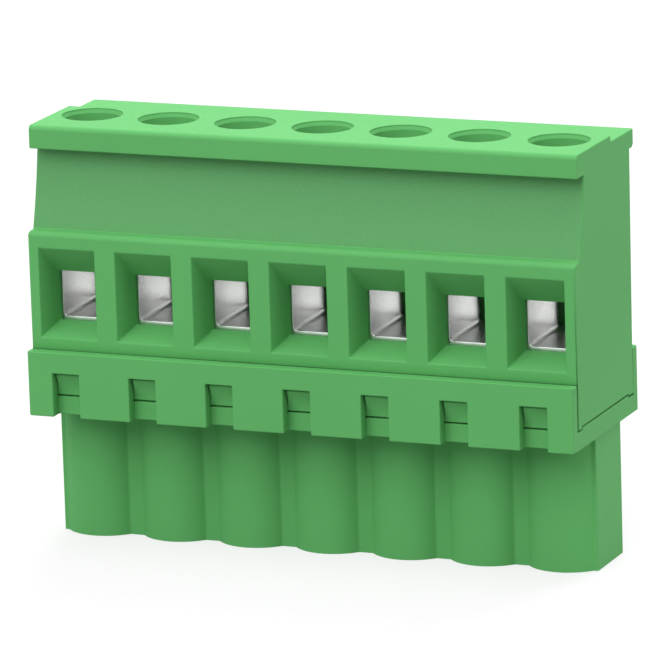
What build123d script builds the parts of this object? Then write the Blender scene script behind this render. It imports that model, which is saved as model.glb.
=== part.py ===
from build123d import *
import os

# Pluggable terminal block: a plug with wire entries at the front, clamp screws reached from above,
# and a plug section below that goes down over a row of header pins.
# Millimetres. X runs along the row of poles, -Y is the wire-entry side, +Z is the screw side.
# The origin is the middle of the block's footprint, level with the end of the plug section.

# Poles and overall size
poles = 7
spacing = 5.08
total_height = 26.15
overall_depth = 11.40
top_step = 0.37
top_step_margin = 0.08
corner_bevel = 0.12

# Depths, each taken back from the face that the wire entries open in
skirt_stand_out = 0.80
rear_skirt_stand_out = 0.85
back_draft = 0.18
screw_set_back = 4.69
pin_set_back = 5.14

# Seam between the two housings, and the snap fit across it
skirt_bottom_z = 8.30
skirt_height = 4.05
floor_thickness = 1.13
seam_gap = 0.08
lip_height = 0.14
lip_edge = 0.85
skirt_gap = 0.02
window_width = 1.76
window_height = 2.74
window_back = 0.08
hook_clearance = 0.09
hook_nose = 0.42
hook_nose_height = 0.25
hook_foot_rise = 0.30

# Outside of the upper housing
ledge_z = 19.72
ledge_width = 0.85
shoulder_radius = 0.35
neck_set_back = 1.93
neck_hollow = 0.10
flange_thickness = 1.45
flange_set_back = 0.76
flange_edge_radius = 0.30
rear_flange_drop = 1.52
rear_flange_chamfer = 0.20
relief_top_z = 12.95
relief_height = 0.80
relief_depth = 0.12

# Wire funnels
mouth_width = 3.73
mouth_bottom_z = 13.09
mouth_top_z = 18.70
throat_width = 2.78
throat_bottom_z = 13.77
throat_top_z = 16.90
funnel_depth = 1.85

# Clamp cage, a strip bent round into a box, shown at its lowest
cage_strip = 0.65
cage_inner_width = 2.72
cage_inner_height = 3.75
cage_set_back = 2.36
cage_length = 5.20
cage_floor_z = 13.95
cage_bend_radius = 0.25
cage_lap_margin = 0.15
cage_side_gap = 0.08
cage_front_gap = 0.11

# Clamp screw and its way through the top
screw_radius = 1.22
screw_thread_gap = 0.05
screw_tip_gap = 0.05
head_radius = 1.85
head_height = 1.70
head_seat_gap = 0.02
head_side_gap = 0.10
head_top_gap = 0.18
slot_width = 0.65
slot_depth = 0.90
slot_turn = 37
shelf_thickness = 0.90
shank_gap = 0.13
collar_radius = 1.78
collar_depth = 1.35
hole_radius = 1.894
hole_land = 0.08
hole_cone = 0.20

# Contact, bent from one sheet
sheet = 0.50
tongue_gap = 0.20
contact_width = 2.00
leg_gap = 0.23
bridge_gap = 0.10
bend_inside = 0.20
tongue_front_gap = 0.24
shoulder_width = 3.70
shoulder_length = 1.30
leaf = 0.40
leaf_width = 2.20
leaf_root_half = 1.00
leaf_knee_z = 9.60
leaf_nose_z = 3.20
leaf_nose_half_gap = 0.42
leaf_tip_z = 1.70
leaf_tip_half_gap = 0.78

# Plug section and the towers inside the upper housing
plug_end_inset = 0.17
plug_set_back = 3.42
plug_back_set = 7.82
barrel_bulge = 0.97
barrel_width = 4.16
plug_wall = 0.80
cavity_width = 3.20
cavity_floor_z = 1.20
pin_entry = 1.70
pin_lead_in = 0.40
tower_side_gap = 0.14
tower_end_gap = 0.20
tower_top_gap = 0.05

# Places worked out from the sizes above
block_length = poles * spacing
pole_x = [(number - (poles + 1) / 2) * spacing for number in range(1, poles + 1)]

front_y = -overall_depth / 2
rear_y = overall_depth / 2
wire_y = front_y + skirt_stand_out
back_y = rear_y - rear_skirt_stand_out
back_top_y = back_y + back_draft
screw_y = wire_y + screw_set_back
pin_y = wire_y + pin_set_back
throat_y = wire_y + funnel_depth

floor_z = skirt_bottom_z + floor_thickness
lip_z = floor_z + lip_height
lip_front_y = wire_y + lip_edge
lip_rear_y = back_y - lip_edge
skirt_top_z = skirt_bottom_z + skirt_height
window_top_z = skirt_bottom_z + window_height
upper_bottom_z = floor_z + seam_gap
hook_top_z = window_top_z - hook_clearance
hook_foot_z = upper_bottom_z + hook_foot_rise
hook_width = window_width - 2 * hook_clearance

neck_foot_y = wire_y + ledge_width
neck_top_y = wire_y + neck_set_back
flange_front_y = wire_y + flange_set_back
flange_under_z = total_height - flange_thickness
rear_top_z = total_height - top_step
rear_flange_under_z = total_height - rear_flange_drop
step_y = screw_y + hole_radius + top_step_margin

cage_half = cage_inner_width / 2
cage_outer_half = cage_half + cage_strip
cage_front_y = wire_y + cage_set_back
cage_rear_y = cage_front_y + cage_length
cage_ceiling_z = cage_floor_z + cage_inner_height
cage_lap_z = cage_ceiling_z + cage_strip
cage_top_z = cage_lap_z + cage_strip
cage_bottom_z = cage_floor_z - cage_strip
cage_outer_radius = cage_bend_radius + cage_strip
lap_end = cage_outer_radius - cage_outer_half + cage_lap_margin

collar_z = total_height - collar_depth
head_top_z = collar_z - head_top_gap
head_bottom_z = head_top_z - head_height
shelf_z = head_bottom_z - head_seat_gap
head_way_radius = head_radius + head_side_gap

tongue_top_z = cage_ceiling_z - tongue_gap
screw_tip_z = tongue_top_z + screw_tip_gap
leg_front_y = cage_rear_y + leg_gap
leg_rear_y = leg_front_y + sheet
bridge_top_z = cage_bottom_z - bridge_gap
bridge_bottom_z = bridge_top_z - sheet
tongue_front_y = cage_front_y + tongue_front_gap
bridge_front_y = pin_y - leaf_width / 2
bend_outside = bend_inside + sheet

chamber_width = 2 * (cage_outer_half + cage_side_gap)
chamber_front_y = cage_front_y - cage_front_gap
chamber_rear_y = leg_rear_y + tower_end_gap
chamber_top_z = shelf_z - shelf_thickness
chamber_mid_y = (chamber_front_y + chamber_rear_y) / 2

plug_half = block_length / 2 - plug_end_inset
plug_front_y = wire_y + plug_set_back
barrel_y = plug_front_y - barrel_bulge
plug_rear_y = wire_y + plug_back_set
cavity_depth = plug_rear_y - barrel_y - 2 * plug_wall
cavity_mid_y = (plug_rear_y + barrel_y) / 2
tower_width = chamber_width - 2 * tower_side_gap
tower_depth = chamber_rear_y - chamber_front_y - 2 * tower_end_gap
tower_top_z = bridge_bottom_z - tower_top_gap


def facing_front(y):
    """Plane that looks out of the wire-entry side at depth y, with X to the right and Z up."""
    return Plane(origin=(0, y, 0), x_dir=(1, 0, 0), z_dir=(0, -1, 0))


def across_pole(x, y):
    """Plane through the upright axis of one pole, with X to the right and Z up."""
    return Plane(origin=(x, y, 0), x_dir=(1, 0, 0), z_dir=(0, -1, 0))


def upright_axis(x, y):
    """Upright axis through one point of the footprint."""
    return Axis((x, y, 0), (0, 0, 1))


# Form of one funnel: it tapers on all four sides to its throat, then runs straight into the chamber
with BuildPart() as funnel_core:
    with BuildSketch(Plane.YZ):
        with BuildLine():
            Polyline(
                (wire_y, mouth_bottom_z),
                (throat_y, throat_bottom_z),
                (chamber_front_y, throat_bottom_z),
                (chamber_front_y, throat_top_z),
                (throat_y, throat_top_z),
                (wire_y, mouth_top_z),
                close=True,
            )
        make_face()
    extrude(amount=mouth_width / 2, both=True)
    with BuildSketch(Plane.XY.offset(mouth_bottom_z)):
        with BuildLine():
            Polyline(
                (0, wire_y),
                (mouth_width / 2, wire_y),
                (throat_width / 2, throat_y),
                (throat_width / 2, chamber_front_y),
                (0, chamber_front_y),
                close=True,
            )
        make_face()
        mirror(about=Plane.YZ)
    extrude(amount=mouth_top_z - mouth_bottom_z, mode=Mode.INTERSECT)


# Upper housing: one moulding with the funnels, the cage chambers and the screw ways
with BuildPart() as upper_housing:
    with BuildSketch(Plane.YZ) as side_profile:
        with BuildLine():
            neck_mid = (
                (neck_foot_y + neck_top_y) / 2 + neck_hollow,
                (ledge_z + flange_under_z) / 2,
            )
            Polyline(
                (wire_y, upper_bottom_z),
                (wire_y, ledge_z),
                (neck_foot_y, ledge_z),
            )
            ThreePointArc((neck_foot_y, ledge_z), neck_mid, (neck_top_y, flange_under_z))
            Polyline(
                (neck_top_y, flange_under_z),
                (flange_front_y, flange_under_z),
                (flange_front_y, total_height),
                (step_y, total_height),
                (step_y, rear_top_z),
                (rear_y, rear_top_z),
                (rear_y, rear_flange_under_z),
                (back_top_y, rear_flange_under_z),
                (back_y, skirt_top_z),
                (back_y, upper_bottom_z),
                (lip_rear_y + seam_gap, upper_bottom_z),
                (lip_rear_y + seam_gap, upper_bottom_z + lip_height),
                (lip_front_y - seam_gap, upper_bottom_z + lip_height),
                (lip_front_y - seam_gap, upper_bottom_z),
                (wire_y, upper_bottom_z),
            )
        make_face()
        shoulder = side_profile.vertices().group_by(Axis.X)[0].sort_by(Axis.Y)[-1]
        fillet(shoulder, radius=shoulder_radius)
        flange_edge = side_profile.vertices().group_by(Axis.Y)[-1].sort_by(Axis.X)[0]
        fillet(flange_edge, radius=flange_edge_radius)
        rear_under_edge = side_profile.vertices().group_by(Axis.X)[-1].sort_by(Axis.Y)[0]
        chamfer(rear_under_edge, length=rear_flange_chamfer)
    extrude(amount=block_length / 2, both=True)

    # The upright corners beside the wire entries are slightly broken
    wire_corners = upper_housing.edges().filter_by(Axis.Z).group_by(Axis.Y)[0]
    chamfer(wire_corners, length=corner_bevel)

    # Behind the skirt the front wall falls back in a soft curve
    with BuildSketch(Plane.YZ):
        with BuildLine():
            TangentArc(
                (wire_y, relief_top_z),
                (wire_y + relief_depth, relief_top_z - relief_height),
                tangent=(0, -1),
            )
            Polyline(
                (wire_y + relief_depth, relief_top_z - relief_height),
                (wire_y + relief_depth, skirt_bottom_z),
                (front_y, skirt_bottom_z),
                (front_y, relief_top_z),
                (wire_y, relief_top_z),
            )
        make_face()
    extrude(amount=block_length / 2, both=True, mode=Mode.SUBTRACT)

    # Snap hooks: wedges whose upper faces catch under the top edges of the skirt windows
    for x in pole_x:
        with BuildSketch(Plane.YZ.offset(x)):
            with BuildLine():
                Polyline(
                    (wire_y + relief_depth + window_back, hook_top_z),
                    (wire_y - hook_nose, hook_top_z),
                    (wire_y - hook_nose, hook_top_z - hook_nose_height),
                    (wire_y + relief_depth, hook_foot_z),
                    (wire_y + relief_depth + window_back, hook_foot_z),
                    close=True,
                )
            make_face()
            with BuildLine():
                Polyline(
                    (back_y - window_back, hook_top_z),
                    (back_y + hook_nose, hook_top_z),
                    (back_y + hook_nose, hook_top_z - hook_nose_height),
                    (back_y, hook_foot_z),
                    (back_y - window_back, hook_foot_z),
                    close=True,
                )
            make_face()
        extrude(amount=hook_width / 2, both=True)

    # One chamber for each cage, open below, where the towers of the lower housing come up
    with BuildSketch(Plane.XY.offset(upper_bottom_z)):
        with Locations((0, chamber_mid_y)):
            with GridLocations(spacing, spacing, poles, 1):
                Rectangle(chamber_width, chamber_rear_y - chamber_front_y)
    extrude(amount=chamber_top_z - upper_bottom_z, mode=Mode.SUBTRACT)

    # One funnel for each pole, from the front wall into the chamber
    with GridLocations(spacing, spacing, poles, 1):
        add(funnel_core.part, mode=Mode.SUBTRACT)

    # Screw ways: shank hole in the shelf, head pocket, retaining collar and coned mouth
    for x in pole_x:
        with BuildSketch(across_pole(x, screw_y)):
            with BuildLine():
                Polyline(
                    (0, chamber_top_z),
                    (screw_radius + shank_gap, chamber_top_z),
                    (screw_radius + shank_gap, shelf_z),
                    (head_way_radius, shelf_z),
                    (head_way_radius, collar_z),
                    (collar_radius, collar_z),
                    (collar_radius, total_height - hole_land - hole_cone),
                    (hole_radius, total_height - hole_land),
                    (hole_radius, total_height),
                    (0, total_height),
                    close=True,
                )
            make_face()
        revolve(axis=upright_axis(x, screw_y), mode=Mode.SUBTRACT)


# Lower housing: floor plate with a skirt along each long side, the plug section and the towers
with BuildPart() as lower_housing:
    with BuildSketch(Plane.YZ):
        with BuildLine():
            Polyline(
                (front_y, skirt_bottom_z),
                (front_y, skirt_top_z),
                (wire_y - skirt_gap, skirt_top_z),
                (wire_y - skirt_gap, floor_z),
                (lip_front_y, floor_z),
                (lip_front_y, lip_z),
                (lip_rear_y, lip_z),
                (lip_rear_y, floor_z),
                (back_y + skirt_gap, floor_z),
                (back_y + skirt_gap, skirt_top_z),
                (rear_y, skirt_top_z),
                (rear_y, skirt_bottom_z),
                close=True,
            )
        make_face()
    extrude(amount=block_length / 2, both=True)

    # The four outer corners of the skirts are slightly broken
    skirt_corners = lower_housing.edges().filter_by(Axis.Z)
    chamfer(skirt_corners.group_by(Axis.Y)[0] + skirt_corners.group_by(Axis.Y)[-1], length=corner_bevel)

    # Plug section: a flat-backed bar with one rounded barrel for each pole along its front
    with BuildSketch(Plane.XY):
        with BuildLine():
            corner = (-plug_half, plug_front_y)
            for x in pole_x:
                Line(corner, (x - barrel_width / 2, plug_front_y))
                corner = (x + barrel_width / 2, plug_front_y)
                ThreePointArc((x - barrel_width / 2, plug_front_y), (x, barrel_y), corner)
            Polyline(
                corner,
                (plug_half, plug_front_y),
                (plug_half, plug_rear_y),
                (-plug_half, plug_rear_y),
                (-plug_half, plug_front_y),
            )
        make_face()
    extrude(amount=floor_z)

    # Towers that rise into the chambers and carry the bridges of the contacts
    with BuildSketch(Plane.XY.offset(floor_z)):
        with Locations((0, chamber_mid_y)):
            with GridLocations(spacing, spacing, poles, 1):
                Rectangle(tower_width, tower_depth)
    extrude(amount=tower_top_z - floor_z)

    # One cavity for each pair of contact leaves, with a square, tapered entry for the header pin
    with BuildSketch(Plane.XY.offset(cavity_floor_z)):
        with Locations((0, cavity_mid_y)):
            with GridLocations(spacing, spacing, poles, 1):
                Rectangle(cavity_width, cavity_depth)
    extrude(amount=tower_top_z - cavity_floor_z, mode=Mode.SUBTRACT)
    with BuildSketch(Plane.XY):
        with Locations((0, pin_y)):
            with GridLocations(spacing, spacing, poles, 1):
                Rectangle(pin_entry, pin_entry)
    extrude(amount=cavity_floor_z, mode=Mode.SUBTRACT)
    with BuildSketch(Plane.XY):
        with Locations((0, pin_y)):
            with GridLocations(spacing, spacing, poles, 1):
                Rectangle(pin_entry + 2 * pin_lead_in, pin_entry + 2 * pin_lead_in)
    extrude(amount=pin_lead_in, taper=45, mode=Mode.SUBTRACT)

    # Windows for the snap hooks, one for each pole in both skirts, open at the bottom
    for window_plane, depth in (
        (facing_front(front_y), front_y - wire_y - window_back),
        (facing_front(rear_y), rear_y - back_y + window_back),
    ):
        with BuildSketch(window_plane):
            with Locations((0, (skirt_bottom_z + window_top_z) / 2)):
                with GridLocations(spacing, spacing, poles, 1):
                    Rectangle(window_width, window_height)
        extrude(amount=depth, mode=Mode.SUBTRACT)


def make_clamp_screw(x, turn):
    """Slotted clamp screw, its head just clear of the shelf and its tip just clear of the tongue."""
    with BuildPart() as screw:
        with BuildSketch(across_pole(x, screw_y)):
            with BuildLine():
                Polyline(
                    (0, screw_tip_z),
                    (screw_radius, screw_tip_z),
                    (screw_radius, head_bottom_z),
                    (head_radius, head_bottom_z),
                    (head_radius, head_top_z),
                    (0, head_top_z),
                    close=True,
                )
            make_face()
        revolve(axis=upright_axis(x, screw_y))
        slot_plane = Plane(origin=(x, screw_y, head_top_z - slot_depth), z_dir=(0, 0, 1)).rotated((0, 0, turn))
        with BuildSketch(slot_plane):
            Rectangle(2 * head_way_radius, slot_width)
        extrude(amount=slot_depth, mode=Mode.SUBTRACT)
    return screw


def make_clamp_cage(x):
    """Clamp cage: a strip bent round, its two ends lapped above the wire space and threaded together."""
    with BuildPart() as cage:
        with BuildSketch(across_pole(x, cage_front_y)) as strip_profile:
            with BuildLine():
                Polyline(
                    (-cage_outer_half, cage_bottom_z),
                    (cage_outer_half, cage_bottom_z),
                    (cage_outer_half, cage_top_z),
                    (lap_end, cage_top_z),
                    (lap_end, cage_lap_z),
                    (-cage_outer_half, cage_lap_z),
                    close=True,
                )
            make_face()
            outer_bends = strip_profile.vertices()
            fillet(
                outer_bends.group_by(Axis.X)[0] + outer_bends.group_by(Axis.X)[-1],
                radius=cage_outer_radius,
            )
            with Locations((0, (cage_floor_z + cage_ceiling_z) / 2)):
                Rectangle(cage_inner_width, cage_inner_height, mode=Mode.SUBTRACT)
            inner_left = strip_profile.vertices().filter_by_position(Axis.X, -cage_half, -cage_half)
            inner_right = strip_profile.vertices().filter_by_position(Axis.X, cage_half, cage_half)
            fillet(inner_left + [inner_right.sort_by(Axis.Y)[0]], radius=cage_bend_radius)
        extrude(amount=-cage_length)
        with BuildSketch(Plane.XY.offset(cage_ceiling_z)):
            with Locations((x, screw_y)):
                Circle(screw_radius + screw_thread_gap)
        extrude(amount=cage_top_z - cage_ceiling_z, mode=Mode.SUBTRACT)
    return cage


def make_contact(x):
    """Contact: tongue, leg and bridge in one bent sheet, with two leaves that grip the header pin."""
    with BuildPart() as contact:
        with BuildSketch(Plane.YZ.offset(x)) as bent_sheet:
            with BuildLine():
                Polyline(
                    (tongue_front_y, tongue_top_z),
                    (leg_rear_y, tongue_top_z),
                    (leg_rear_y, bridge_bottom_z),
                    (bridge_front_y, bridge_bottom_z),
                    (bridge_front_y, bridge_top_z),
                    (leg_front_y, bridge_top_z),
                    (leg_front_y, tongue_top_z - sheet),
                    (tongue_front_y, tongue_top_z - sheet),
                    close=True,
                )
            make_face()
            outer_bends = bent_sheet.vertices().group_by(Axis.X)[-1]
            fillet(outer_bends, radius=bend_outside)
            inner_bends = bent_sheet.vertices().filter_by_position(Axis.X, leg_front_y, leg_front_y)
            fillet(inner_bends, radius=bend_inside)
        extrude(amount=contact_width / 2, both=True)

        # Shoulders that rest on the tower behind the leaves
        with BuildSketch(Plane.XY.offset(bridge_bottom_z)):
            with Locations((x, leg_front_y - shoulder_length / 2)):
                Rectangle(shoulder_width, shoulder_length)
        extrude(amount=sheet)

        # Two leaves hang from the bridge, close in to a flat nose and flare out again
        with BuildSketch(across_pole(x, pin_y)):
            with BuildLine():
                Polyline(
                    (leaf_nose_half_gap, leaf_nose_z + leaf),
                    (leaf_root_half - leaf, leaf_knee_z),
                    (leaf_root_half - leaf, bridge_top_z),
                    (leaf_root_half, bridge_top_z),
                    (leaf_root_half, leaf_knee_z),
                    (leaf_nose_half_gap + leaf, leaf_nose_z),
                    (leaf_tip_half_gap + leaf, leaf_tip_z),
                    (leaf_tip_half_gap, leaf_tip_z),
                    (leaf_nose_half_gap, leaf_nose_z),
                    close=True,
                )
            make_face()
            mirror(about=Plane.YZ)
        extrude(amount=leaf_width / 2, both=True)
    return contact


def save(piece, name):
    """Names one finished piece and writes it out."""
    piece.part.label = name
    export_step(piece.part, f"parts/{name}.step")


os.makedirs("parts", exist_ok=True)
save(upper_housing, "upper_housing")
save(lower_housing, "lower_housing")
for number, x in enumerate(pole_x, start=1):
    save(make_clamp_screw(x, number * slot_turn), f"clamp_screw_{number}")
    save(make_clamp_cage(x), f"clamp_cage_{number}")
    save(make_contact(x), f"contact_{number}")
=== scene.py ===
import math

import bmesh
import bpy
from mathutils import Matrix, Vector


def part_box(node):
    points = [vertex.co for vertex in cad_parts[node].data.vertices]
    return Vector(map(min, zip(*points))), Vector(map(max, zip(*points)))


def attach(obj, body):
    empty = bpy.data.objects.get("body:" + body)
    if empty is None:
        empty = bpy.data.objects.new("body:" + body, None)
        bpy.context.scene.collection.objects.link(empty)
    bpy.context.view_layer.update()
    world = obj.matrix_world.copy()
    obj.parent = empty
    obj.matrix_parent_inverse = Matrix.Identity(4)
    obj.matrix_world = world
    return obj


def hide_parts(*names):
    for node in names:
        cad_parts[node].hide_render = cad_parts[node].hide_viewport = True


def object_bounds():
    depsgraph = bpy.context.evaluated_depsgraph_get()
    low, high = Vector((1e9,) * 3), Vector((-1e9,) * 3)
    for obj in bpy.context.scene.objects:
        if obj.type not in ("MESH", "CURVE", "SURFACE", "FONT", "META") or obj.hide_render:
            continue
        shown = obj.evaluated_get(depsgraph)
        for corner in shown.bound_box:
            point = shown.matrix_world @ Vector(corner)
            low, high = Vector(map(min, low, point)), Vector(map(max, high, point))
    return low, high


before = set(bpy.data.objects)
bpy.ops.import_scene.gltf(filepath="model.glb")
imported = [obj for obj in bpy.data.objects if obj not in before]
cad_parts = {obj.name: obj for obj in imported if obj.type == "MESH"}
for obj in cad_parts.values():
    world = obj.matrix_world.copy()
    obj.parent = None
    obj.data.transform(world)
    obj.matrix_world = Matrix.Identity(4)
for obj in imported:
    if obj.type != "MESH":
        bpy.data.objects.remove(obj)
cad_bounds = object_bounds()

MM = 0.001
POLES = 7
POLE_NUMBERS = range(1, POLES + 1)
WHITE = (1.0, 1.0, 1.0, 1.0)

# Camera, in degrees, millimetres and pixels, at the photograph's viewing angle
CAMERA_AZIMUTH = 22.5687
CAMERA_ELEVATION = 13.604
CAMERA_ROLL = -1.77
CAMERA_DISTANCE = 418.267
CAMERA_LOOKS_AT = (0.0, -0.90, 12.5)
CAMERA_ASIDE = 0.4785
CAMERA_ABOVE = 0.9661
SENSOR_WIDTH = 36.0
IMAGE_WIDTH = 666
FOCAL_PIXELS = 6879.03

# Camera's nearest and farthest distance, in metres
CLIP_NEAR = 0.01
CLIP_FAR = 20.0

# Colours, linear
HOUSING_GREEN = (0.124, 0.445, 0.138, 1.0)
# Painted shade: the neck's darker, greyer green stands for the shadow under the overhanging flange
NECK_PAINTED_SHADE_GREEN = (0.128, 0.374, 0.141, 1.0)
NICKEL = (0.96, 0.965, 0.97, 1.0)
ZINC = (0.56, 0.57, 0.57, 1.0)
TIN = (0.85, 0.84, 0.82, 1.0)
FLOOR_SHADE = (0.24, 0.24, 0.24, 1.0)
FLOOR_BOUNCE = (0.32, 0.32, 0.32, 1.0)

# Noise: the range of grey that nearly all of it lies in, and scales for each metre
NOISE_LOW = 0.3
NOISE_HIGH = 0.7
FLOW_SCALE = 90.0
PLASTIC_GRAIN_SCALE = 9000.0
SPECK_SCALE = 2600.0
CLOUD_SCALE = 700.0
GRAIN_ROUGHNESS = 0.6

# Plastic: how far its tones stray, its gloss and the depth of its grain
FLOW_TONES = (0.975, 1.025)
NECK_TONES = (0.94, 1.06)
PLASTIC_ROUGHNESS = (0.44, 0.54)
PLASTIC_SPECULAR = 0.06
PLASTIC_RELIEF = 0.12
PLASTIC_RELIEF_DEPTH = 0.012 * MM
NECK_RELIEF_ADDED = 2.0

# Metal: its dullest tone, the share of cloud and grain in it, its uneven polish and the depth of its grain
DULL_METAL = 0.88
CLOUD_LOW = 0.5
GRAIN_LOW = 0.2
POLISH_STRAYS = 0.03
METAL_RELIEF = 0.14
METAL_RELIEF_DEPTH = 0.004 * MM

# Floor and plain sky: roughness, strengths, reach and depth in metres
FLOOR_ROUGHNESS = 0.9
FLOOR_GLOW = 0.72
FLOOR_REACH = 3.0
FLOOR_Z = -0.00002
SKY = 0.17

# Softboxes: azimuth and elevation in degrees seen from the plug, and power in watts
SOFTBOXES = {
    "front_high": (0, 42, 1.92),
    "overhead": (0, 85, 1.65),
    "back_high": (180, 50, 3.0),
    "right": (90, 8, 1.62),
    "front_left": (-34, 28, 0.85),
    "left": (-90, 12, 0.6),
}
UNMIRRORED = ("overhead", "back_high")
SOFTBOX_SIZE = 0.45
SOFTBOX_REACH = 0.60
SOFTBOX_AIM = (0.0, 0.0, 0.015)

# Rounds on the edges of the CAD pieces' copies
HOUSING_EDGE = 0.07 * MM
METAL_EDGE = 0.02 * MM
SHORTEST_EASED = 0.035 * MM
MERGE_DISTANCE = 0.0005 * MM
ROUND_SEGMENTS = 2

# Angles between faces, in degrees: merged below, eased above, shaded smooth below, blended below
FLAT_ANGLE = 0.5
EASED_ANGLE = 32
SMOOTH_ANGLE = 24
BLEND_ANGLE = 50

# Where edges stay crisp
TOP_BAND = 0.5 * MM
END_BAND = 0.01 * MM
OUTLINE_MARGIN = 0.4 * MM
JOINT_Y = 4.75 * MM
JOINT_TOP = 12.5 * MM
JOINT_MARGIN = 0.12 * MM

# The neck between ledge and flange, where the colour is painted darker as painted shade and the grain is coarser
NECK_BACK = -2.5 * MM
NECK_BOTTOM = 19.76 * MM
NECK_TOP = 24.66 * MM
NECK_HALF_LENGTH = 17.72 * MM

# The screw's hole in the cage
CAGE_HOLE = 1.28 * MM
CAGE_HOLE_BOTTOM = 17.3 * MM

# Screw: steps round it, thread, tip, head and driver slot
ROUND_STEPS = 64
THREAD_PITCH = 0.45 * MM
THREAD_DEPTH = 0.22 * MM
THREAD_CREST = 1.22 * MM
THREAD_RUNOUT = 0.5 * MM
THREAD_ROWS = 8
THREAD_ROOT_SHARE = 0.15
THREAD_FLANK_SHARE = 0.70
TIP_RADIUS = 0.97 * MM
TIP_CHAMFER = 0.25 * MM
HEAD_HEIGHT = 1.70 * MM
HEAD_UNDER_EDGE = 0.05 * MM
HEAD_TOP_EDGE = 0.16 * MM
HEAD_TOP_STEPS = 4
SLOT_WIDTH = 0.65 * MM
SLOT_DEPTH = 0.90 * MM
SLOT_LIP = 0.05 * MM
SLOT_REACH = 1.2
SLOT_TURN = 37


def new_material(name):
    """Empty node material: the material, its node list, its links and its surface shader."""
    material = bpy.data.materials.new(name)
    material.use_nodes = True
    nodes = material.node_tree.nodes
    links = material.node_tree.links
    nodes.clear()
    output = nodes.new("ShaderNodeOutputMaterial")
    shader = nodes.new("ShaderNodeBsdfPrincipled")
    links.new(shader.outputs["BSDF"], output.inputs["Surface"])
    return material, nodes, links, shader


def fed(links, socket, value):
    """Gives a socket its value: a number, a colour or another node's output."""
    if isinstance(value, (float, tuple)):
        socket.default_value = value
    else:
        links.new(value, socket)


def noise(nodes, links, space, scale, detail=2.0, roughness=0.5):
    """Noise of a given scale, as a grey value."""
    texture = nodes.new("ShaderNodeTexNoise")
    texture.inputs["Scale"].default_value = scale
    texture.inputs["Detail"].default_value = detail
    texture.inputs["Roughness"].default_value = roughness
    links.new(space, texture.inputs["Vector"])
    return texture.outputs["Fac"]


def spread(nodes, links, value, low, high):
    """Maps a noise value to a range."""
    ranged = nodes.new("ShaderNodeMapRange")
    ranged.inputs["From Min"].default_value = NOISE_LOW
    ranged.inputs["From Max"].default_value = NOISE_HIGH
    ranged.inputs["To Min"].default_value = low
    ranged.inputs["To Max"].default_value = high
    links.new(value, ranged.inputs["Value"])
    return ranged.outputs["Result"]


def tint(nodes, links, value, first, second):
    """Colour between two others, by a value from 0 to 1."""
    mix = nodes.new("ShaderNodeMix")
    mix.data_type = "RGBA"
    fed(links, mix.inputs["A"], first)
    fed(links, mix.inputs["B"], second)
    links.new(value, mix.inputs["Factor"])
    return mix.outputs["Result"]


def scaled(colour, factor):
    """A colour made lighter or darker."""
    return tuple(channel * factor for channel in colour[:3]) + (1.0,)


def combined(nodes, links, operation, first, second):
    """Two values joined by a sum, a product or a comparison; either may be a number."""
    joint = nodes.new("ShaderNodeMath")
    joint.operation = operation
    fed(links, joint.inputs[0], first)
    fed(links, joint.inputs[1], second)
    return joint.outputs["Value"]


def bump(nodes, links, shader, value, strength, distance):
    """Raises the surface by a value."""
    relief = nodes.new("ShaderNodeBump")
    relief.inputs["Strength"].default_value = strength
    relief.inputs["Distance"].default_value = distance
    links.new(value, relief.inputs["Height"])
    links.new(relief.outputs["Normal"], shader.inputs["Normal"])


def neck_shade_and_grain_mask(nodes, links, space):
    """1 on the sloping neck between ledge and flange, where the colour is painted darker as painted shade and the
    grain is coarser, and 0 elsewhere.
    """
    parts = nodes.new("ShaderNodeSeparateXYZ")
    links.new(space, parts.inputs["Vector"])
    across = combined(nodes, links, "ABSOLUTE", parts.outputs["X"], 0.0)
    inside = combined(nodes, links, "LESS_THAN", parts.outputs["Y"], NECK_BACK)
    for operation, value, limit in (
        ("GREATER_THAN", parts.outputs["Z"], NECK_BOTTOM),
        ("LESS_THAN", parts.outputs["Z"], NECK_TOP),
        ("LESS_THAN", across, NECK_HALF_LENGTH),
    ):
        inside = combined(nodes, links, "MULTIPLY", inside, combined(nodes, links, operation, value, limit))
    return inside


def moulded_plastic():
    """Moulded polyamide: fine grain, coarser on the neck, faint flow marks, soft uneven gloss; the neck's colour is
    painted darker and greyer as painted shade under the flange.
    """
    material, nodes, links, shader = new_material("green_polyamide")
    space = nodes.new("ShaderNodeTexCoord").outputs["Object"]
    neck = neck_shade_and_grain_mask(nodes, links, space)
    flow = noise(nodes, links, space, FLOW_SCALE)
    grain = noise(nodes, links, space, PLASTIC_GRAIN_SCALE, 3.0, GRAIN_ROUGHNESS)
    speck = noise(nodes, links, space, SPECK_SCALE)
    smooth, neck_painted_shade = (
        tint(nodes, links, spread(nodes, links, value, 0.0, 1.0), scaled(green, tones[0]), scaled(green, tones[1]))
        for value, green, tones in ((flow, HOUSING_GREEN, FLOW_TONES), (grain, NECK_PAINTED_SHADE_GREEN, NECK_TONES))
    )
    # Painted shade: the neck gets a darker, greyer green in place of the flange's shadow
    links.new(tint(nodes, links, neck, smooth, neck_painted_shade), shader.inputs["Base Color"])
    links.new(spread(nodes, links, speck, *PLASTIC_ROUGHNESS), shader.inputs["Roughness"])
    shader.inputs["Specular IOR Level"].default_value = PLASTIC_SPECULAR
    added = combined(nodes, links, "MULTIPLY", neck, NECK_RELIEF_ADDED)
    height = combined(nodes, links, "MULTIPLY", grain, combined(nodes, links, "ADD", added, 1.0))
    bump(nodes, links, shader, height, PLASTIC_RELIEF, PLASTIC_RELIEF_DEPTH)
    return material


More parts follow.
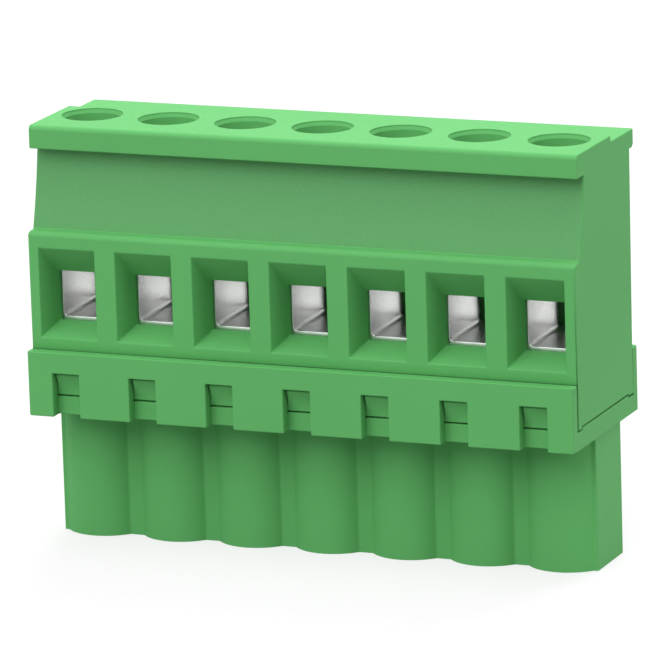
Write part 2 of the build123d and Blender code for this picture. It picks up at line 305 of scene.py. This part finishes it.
def plated_metal(name, colour, roughness, grain_scale):
    """Plated metal: fine even grain, a faint cloudy tone and an uneven polish."""
    material, nodes, links, shader = new_material(name)
    space = nodes.new("ShaderNodeTexCoord").outputs["Object"]
    grain = noise(nodes, links, space, grain_scale, 2.0, GRAIN_ROUGHNESS)
    cloud = noise(nodes, links, space, CLOUD_SCALE)
    mottle = combined(nodes, links, "MULTIPLY", spread(nodes, links, cloud, CLOUD_LOW, 1.0),
                      spread(nodes, links, grain, GRAIN_LOW, 1.0))
    links.new(tint(nodes, links, mottle, scaled(colour, DULL_METAL), colour), shader.inputs["Base Color"])
    links.new(spread(nodes, links, grain, roughness - POLISH_STRAYS, roughness + POLISH_STRAYS),
              shader.inputs["Roughness"])
    shader.inputs["Metallic"].default_value = 1.0
    bump(nodes, links, shader, grain, METAL_RELIEF, METAL_RELIEF_DEPTH)
    return material


def seen_or_lit(nodes, links, seen, lit):
    """Shader that is the first one to the camera, directly, in a reflection or through glass, else the second."""
    ray = nodes.new("ShaderNodeLightPath")
    mirrored = combined(nodes, links, "MAXIMUM", ray.outputs["Is Glossy Ray"], ray.outputs["Is Transmission Ray"])
    pick = nodes.new("ShaderNodeMixShader")
    links.new(combined(nodes, links, "MAXIMUM", mirrored, ray.outputs["Is Camera Ray"]), pick.inputs["Fac"])
    links.new(lit, pick.inputs[1])
    links.new(seen, pick.inputs[2])
    return pick.outputs["Shader"]


def white_backdrop_floor():
    """Pale floor that reads white to the camera, keeps shadows and throws little light up."""
    material, nodes, links, shader = new_material("pale_floor")
    output = shader.outputs["BSDF"].links[0].to_node
    shader.inputs["Roughness"].default_value = FLOOR_ROUGHNESS
    shader.inputs["Specular IOR Level"].default_value = 0.0
    shader.inputs["Base Color"].default_value = FLOOR_SHADE
    glow = nodes.new("ShaderNodeEmission")
    glow.inputs["Color"].default_value = WHITE
    glow.inputs["Strength"].default_value = FLOOR_GLOW
    both = nodes.new("ShaderNodeAddShader")
    links.new(shader.outputs["BSDF"], both.inputs[0])
    links.new(glow.outputs["Emission"], both.inputs[1])
    dull = nodes.new("ShaderNodeBsdfDiffuse")
    dull.inputs["Color"].default_value = FLOOR_BOUNCE
    links.new(seen_or_lit(nodes, links, both.outputs["Shader"], dull.outputs["BSDF"]), output.inputs["Surface"])
    return material


def shade(shape, eased=()):
    """Smooth shading over shallow edges and the eased ones, crisp at all others."""
    for face in shape.faces:
        face.smooth = True
    for side in shape.edges:
        side.smooth = side in eased or side.calc_face_angle(0.0) < math.radians(SMOOTH_ANGLE)


def smooth_fan(corner):
    """Faces round a corner's vertex that are reached from its own face without crossing a crisp edge."""
    fan = {corner.face}
    waiting = [corner.face]
    while waiting:
        face = waiting.pop()
        for side in corner.vert.link_edges:
            if side.smooth and face in side.link_faces:
                for other in side.link_faces:
                    if other not in fan:
                        fan.add(other)
                        waiting.append(other)
    return fan


def corner_normals(shape):
    """Normals weighted by face area, so that flat faces stay flat and only the eased edges turn."""
    shape.normal_update()
    area = {face: face.calc_area() for face in shape.faces}
    limit = math.cos(math.radians(BLEND_ANGLE))
    normals = []
    for face in shape.faces:
        for corner in face.loops:
            total = face.normal * area[face]
            for other in smooth_fan(corner):
                if other is not face and other.normal.dot(face.normal) > limit:
                    total += other.normal * area[other]
            normals.append(total.normalized() if total.length > 0.0 else face.normal)
    return normals


def written(shape, mesh):
    """Writes a finished shape to its mesh, with its normals."""
    shape.faces.index_update()
    normals = corner_normals(shape)
    shape.to_mesh(mesh)
    shape.free()
    if "custom_normal" in mesh.attributes:
        mesh.attributes.remove(mesh.attributes["custom_normal"])
    mesh.normals_split_custom_set([tuple(normal) for normal in normals])
    return mesh


def shape_of(mesh):
    """Editable copy of a mesh."""
    shape = bmesh.new()
    shape.from_mesh(mesh)
    return shape


def mesh_of(shape, name):
    """New mesh from a shape, which is used up."""
    mesh = bpy.data.meshes.new(name)
    shape.to_mesh(mesh)
    shape.free()
    return mesh


def cut_away(mesh, cutter):
    """New mesh: the given one without the cutter's volume. The cutter is used up."""
    blank = bpy.data.objects.new("blank", mesh)
    for part in (blank, cutter):
        bpy.context.scene.collection.objects.link(part)
    cut = blank.modifiers.new("cut", "BOOLEAN")
    cut.object = cutter
    cut.solver = "EXACT"
    bpy.context.view_layer.update()
    result = bpy.data.meshes.new_from_object(blank.evaluated_get(bpy.context.evaluated_depsgraph_get()))
    bpy.data.objects.remove(blank)
    bpy.data.objects.remove(cutter)
    return result


def stays_crisp(side):
    """True for the plug's end, the rims of the screw holes, the step in the top and the joint beside the skirts."""
    low, high = cad_bounds
    middle = (side.verts[0].co + side.verts[1].co) / 2
    at_joint = (
        abs(middle.x) > high.x - JOINT_MARGIN
        and abs(abs(middle.y) - JOINT_Y) < JOINT_MARGIN
        and middle.z < JOINT_TOP
    )
    at_end = middle.z < END_BAND
    inside_top = (
        middle.z > high.z - TOP_BAND
        and low.x + OUTLINE_MARGIN < middle.x < high.x - OUTLINE_MARGIN
        and low.y + OUTLINE_MARGIN < middle.y < high.y - OUTLINE_MARGIN
    )
    return at_end or at_joint or inside_top


def eased_copy(node, edge, cutter=None):
    """Copy of a CAD node's mesh, cut if a cutter is given, with its crisp edges broken by a small round."""
    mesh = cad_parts[node].data.copy()
    shape = shape_of(mesh)
    bmesh.ops.remove_doubles(shape, verts=shape.verts, dist=MERGE_DISTANCE)
    if cutter:
        shape.to_mesh(mesh)
        shape.free()
        mesh = cut_away(mesh, cutter)
        shape = shape_of(mesh)
        bmesh.ops.remove_doubles(shape, verts=shape.verts, dist=MERGE_DISTANCE)
    bmesh.ops.dissolve_limit(shape, angle_limit=math.radians(FLAT_ANGLE), verts=shape.verts, edges=shape.edges)
    eased = {
        side for side in shape.edges
        if len(side.link_faces) == 2
        and side.calc_face_angle() > math.radians(EASED_ANGLE)
        and side.calc_length() > SHORTEST_EASED
        and not stays_crisp(side)
    }
    shade(shape, eased)
    bmesh.ops.bevel(shape, geom=list(eased), offset=edge, segments=ROUND_SEGMENTS, profile=0.5, affect="EDGES",
                    clamp_overlap=False, miter_outer="SHARP", miter_inner="SHARP")
    bmesh.ops.remove_doubles(shape, verts=shape.verts, dist=MERGE_DISTANCE)
    return written(shape, mesh)


def show(name, mesh, material, body, node):
    """Shows a finished mesh in place of a CAD node, on the node's body."""
    mesh.materials.clear()
    mesh.materials.append(material)
    piece = bpy.data.objects.new(name, mesh)
    bpy.context.scene.collection.objects.link(piece)
    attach(piece, body)
    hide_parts(node)


def hole_cutter(number):
    """Cylinder that clears a cage's screw hole as far as the inner bends beside it."""
    low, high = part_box(f"clamp_screw_{number}")
    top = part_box(f"clamp_cage_{number}")[1].z + CAGE_HOLE
    shape = bmesh.new()
    middle = Matrix.Translation(((low.x + high.x) / 2, (low.y + high.y) / 2, (CAGE_HOLE_BOTTOM + top) / 2))
    bmesh.ops.create_cone(shape, cap_ends=True, segments=ROUND_STEPS, radius1=CAGE_HOLE, radius2=CAGE_HOLE,
                          depth=top - CAGE_HOLE_BOTTOM, matrix=middle)
    return bpy.data.objects.new("hole_cutter", mesh_of(shape, "hole_cutter"))


def slot_cutter(top_z, head_radius, turn):
    """Bar that cuts the driver slot, flared at the top so that the slot's lips are broken."""
    half = SLOT_WIDTH / 2
    flare = half + 2 * SLOT_LIP
    profile = [
        (-half, top_z - SLOT_DEPTH),
        (half, top_z - SLOT_DEPTH),
        (half, top_z - SLOT_LIP),
        (flare, top_z + SLOT_LIP),
        (-flare, top_z + SLOT_LIP),
        (-half, top_z - SLOT_LIP),
    ]
    reach = head_radius * SLOT_REACH
    shape = bmesh.new()
    near, far = (
        [
            shape.verts.new((along * math.cos(turn) - across * math.sin(turn),
                             along * math.sin(turn) + across * math.cos(turn), z))
            for across, z in profile
        ]
        for along in (-reach, reach)
    )
    for index in range(len(profile)):
        after = (index + 1) % len(profile)
        shape.faces.new((near[index], near[after], far[after], far[index]))
    shape.faces.new(list(reversed(near)))
    shape.faces.new(far)
    bmesh.ops.recalc_face_normals(shape, faces=shape.faces)
    return bpy.data.objects.new("cutter", mesh_of(shape, "cutter"))


def thread_radius(turn, z, tip_z, head_bottom):
    """Distance of the thread's surface from the axis: crests with narrow flats, fading out below the head."""
    phase = ((z - tip_z) / THREAD_PITCH - turn / (2 * math.pi)) % 1.0
    flank = min(abs(phase - 0.5) * 2.0, 1.0)
    fill = min(max((flank - THREAD_ROOT_SHARE) / THREAD_FLANK_SHARE, 0.0), 1.0)
    runout = min(max((head_bottom - z) / THREAD_RUNOUT, 0.0), 1.0)
    return THREAD_CREST - THREAD_DEPTH * (1.0 - fill) * runout


def screw_rows(low, high, head_radius, head_bottom):
    """Radius and height of each ring of the screw, from the tip up. The thread's rings have no radius of their own."""
    thread_bottom = low.z + TIP_CHAMFER
    thread_length = head_bottom - low.z - TIP_CHAMFER
    thread_rows = round(thread_length / THREAD_PITCH * THREAD_ROWS)
    rows = [(TIP_RADIUS, low.z)]
    rows += [(None, thread_bottom + thread_length * row / thread_rows) for row in range(thread_rows + 1)]
    rows += [
        (head_radius - HEAD_UNDER_EDGE, head_bottom),
        (head_radius, head_bottom + HEAD_UNDER_EDGE),
        (head_radius, high.z - HEAD_TOP_EDGE),
    ]
    for step in range(1, HEAD_TOP_STEPS + 1):
        turn = math.radians(90 * step / HEAD_TOP_STEPS)
        rows.append((head_radius - HEAD_TOP_EDGE * (1 - math.cos(turn)),
                     high.z - HEAD_TOP_EDGE * (1 - math.sin(turn))))
    return rows


def make_screw(number, material):
    """Slotted clamp screw with a rolled thread, in the place of its plain CAD solid."""
    low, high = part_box(f"clamp_screw_{number}")
    head_radius = (high.x - low.x) / 2
    head_bottom = high.z - HEAD_HEIGHT
    shape = bmesh.new()
    rings = []
    for radius, z in screw_rows(low, high, head_radius, head_bottom):
        ring = []
        for step in range(ROUND_STEPS):
            turn = 2 * math.pi * step / ROUND_STEPS
            reach = thread_radius(turn, z, low.z, head_bottom) if radius is None else radius
            ring.append(shape.verts.new((reach * math.cos(turn), reach * math.sin(turn), z)))
        rings.append(ring)
    for lower, upper in zip(rings, rings[1:]):
        for step in range(ROUND_STEPS):
            after = (step + 1) % ROUND_STEPS
            shape.faces.new((lower[step], lower[after], upper[after], upper[step]))
    shape.faces.new(list(reversed(rings[0])))
    shape.faces.new(rings[-1])
    cutter = slot_cutter(high.z, head_radius, math.radians(number * SLOT_TURN))
    slotted = cut_away(mesh_of(shape, f"screw_{number}"), cutter)
    shape = shape_of(slotted)
    shade(shape)
    written(shape, slotted)
    slotted.materials.clear()
    slotted.materials.append(material)
    screw = bpy.data.objects.new(f"screw_threaded_{number}", slotted)
    bpy.context.scene.collection.objects.link(screw)
    screw.location = ((low.x + high.x) / 2, (low.y + high.y) / 2, 0.0)
    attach(screw, f"screw_{number}")
    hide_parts(f"clamp_screw_{number}")


def towards(azimuth, elevation):
    """Direction from the plug, for angles in radians: azimuth 0 is the wire entries' side, 90 degrees the right."""
    return Vector((
        math.sin(azimuth) * math.cos(elevation),
        -math.cos(azimuth) * math.cos(elevation),
        math.sin(elevation),
    ))


def make_camera():
    """Camera at the photograph's angle, distance and field of view."""
    azimuth, elevation, roll = (math.radians(angle) for angle in (CAMERA_AZIMUTH, CAMERA_ELEVATION, CAMERA_ROLL))
    back = towards(azimuth, elevation)
    level = Vector((math.cos(azimuth), math.sin(azimuth), 0.0))
    upright = back.cross(level)
    right = math.cos(roll) * level + math.sin(roll) * upright
    up = -math.sin(roll) * level + math.cos(roll) * upright
    place = (Vector(CAMERA_LOOKS_AT) + CAMERA_ASIDE * right + CAMERA_ABOVE * up + CAMERA_DISTANCE * back) * MM
    data = bpy.data.cameras.new("camera")
    data.sensor_width = SENSOR_WIDTH
    data.lens = FOCAL_PIXELS / IMAGE_WIDTH * SENSOR_WIDTH
    data.clip_start = CLIP_NEAR
    data.clip_end = CLIP_FAR
    camera = bpy.data.objects.new("camera", data)
    bpy.context.scene.collection.objects.link(camera)
    camera.matrix_world = Matrix((
        (right.x, up.x, back.x, place.x),
        (right.y, up.y, back.y, place.y),
        (right.z, up.z, back.z, place.z),
        (0.0, 0.0, 0.0, 1.0),
    ))
    bpy.context.scene.camera = camera


def make_softbox(name, azimuth, elevation, watts):
    """One soft area lamp, aimed at the plug."""
    data = bpy.data.lights.new(name, "AREA")
    data.shape = "SQUARE"
    data.size = SOFTBOX_SIZE
    data.energy = watts
    lamp = bpy.data.objects.new(name, data)
    lamp.visible_glossy = name not in UNMIRRORED
    bpy.context.scene.collection.objects.link(lamp)
    back = towards(math.radians(azimuth), math.radians(elevation))
    lamp.location = Vector(SOFTBOX_AIM) + SOFTBOX_REACH * back
    lamp.rotation_euler = back.to_track_quat("Z", "Y").to_euler()


def make_world():
    """White to the camera and in reflections, a plain dim sky to everything else."""
    world = bpy.data.worlds.new("studio")
    bpy.context.scene.world = world
    world.use_nodes = True
    nodes = world.node_tree.nodes
    links = world.node_tree.links
    nodes.clear()
    output = nodes.new("ShaderNodeOutputWorld")
    shaders = []
    for strength in (1.0, SKY):
        background = nodes.new("ShaderNodeBackground")
        background.inputs["Color"].default_value = WHITE
        background.inputs["Strength"].default_value = strength
        shaders.append(background.outputs["Background"])
    white, sky = shaders
    links.new(seen_or_lit(nodes, links, white, sky), output.inputs["Surface"])


def make_floor():
    """Large plain floor that the plug stands on."""
    mesh = bpy.data.meshes.new("floor")
    corners = [(x * FLOOR_REACH, y * FLOOR_REACH, 0) for x, y in ((-1, -1), (1, -1), (1, 1), (-1, 1))]
    mesh.from_pydata(corners, [], [(0, 1, 2, 3)])
    floor = bpy.data.objects.new("floor", mesh)
    bpy.context.scene.collection.objects.link(floor)
    floor.data.materials.append(white_backdrop_floor())
    floor.location.z = FLOOR_Z


bpy.context.scene.view_settings.view_transform = "Standard"
make_camera()
make_world()
make_floor()
for name, (azimuth, elevation, watts) in SOFTBOXES.items():
    make_softbox(name, azimuth, elevation, watts)

# Material's name, colour, roughness and grain scale
plastic = moulded_plastic()
cage_metal = plated_metal("nickel_strip", NICKEL, 0.30, 11000.0)
screw_metal = plated_metal("zinc_plate", ZINC, 0.30, 2500.0)
contact_metal = plated_metal("tin_plate", TIN, 0.24, 9000.0)

show("housing_top", eased_copy("upper_housing", HOUSING_EDGE), plastic, "block", "upper_housing")
show("housing_base", eased_copy("lower_housing", HOUSING_EDGE), plastic, "block", "lower_housing")
for number in POLE_NUMBERS:
    show(f"cage_strip_{number}", eased_copy(f"clamp_cage_{number}", METAL_EDGE, hole_cutter(number)), cage_metal,
         f"cage_{number}", f"clamp_cage_{number}")
    show(f"contact_sheet_{number}", eased_copy(f"contact_{number}", METAL_EDGE), contact_metal, "block",
         f"contact_{number}")
    make_screw(number, screw_metal)
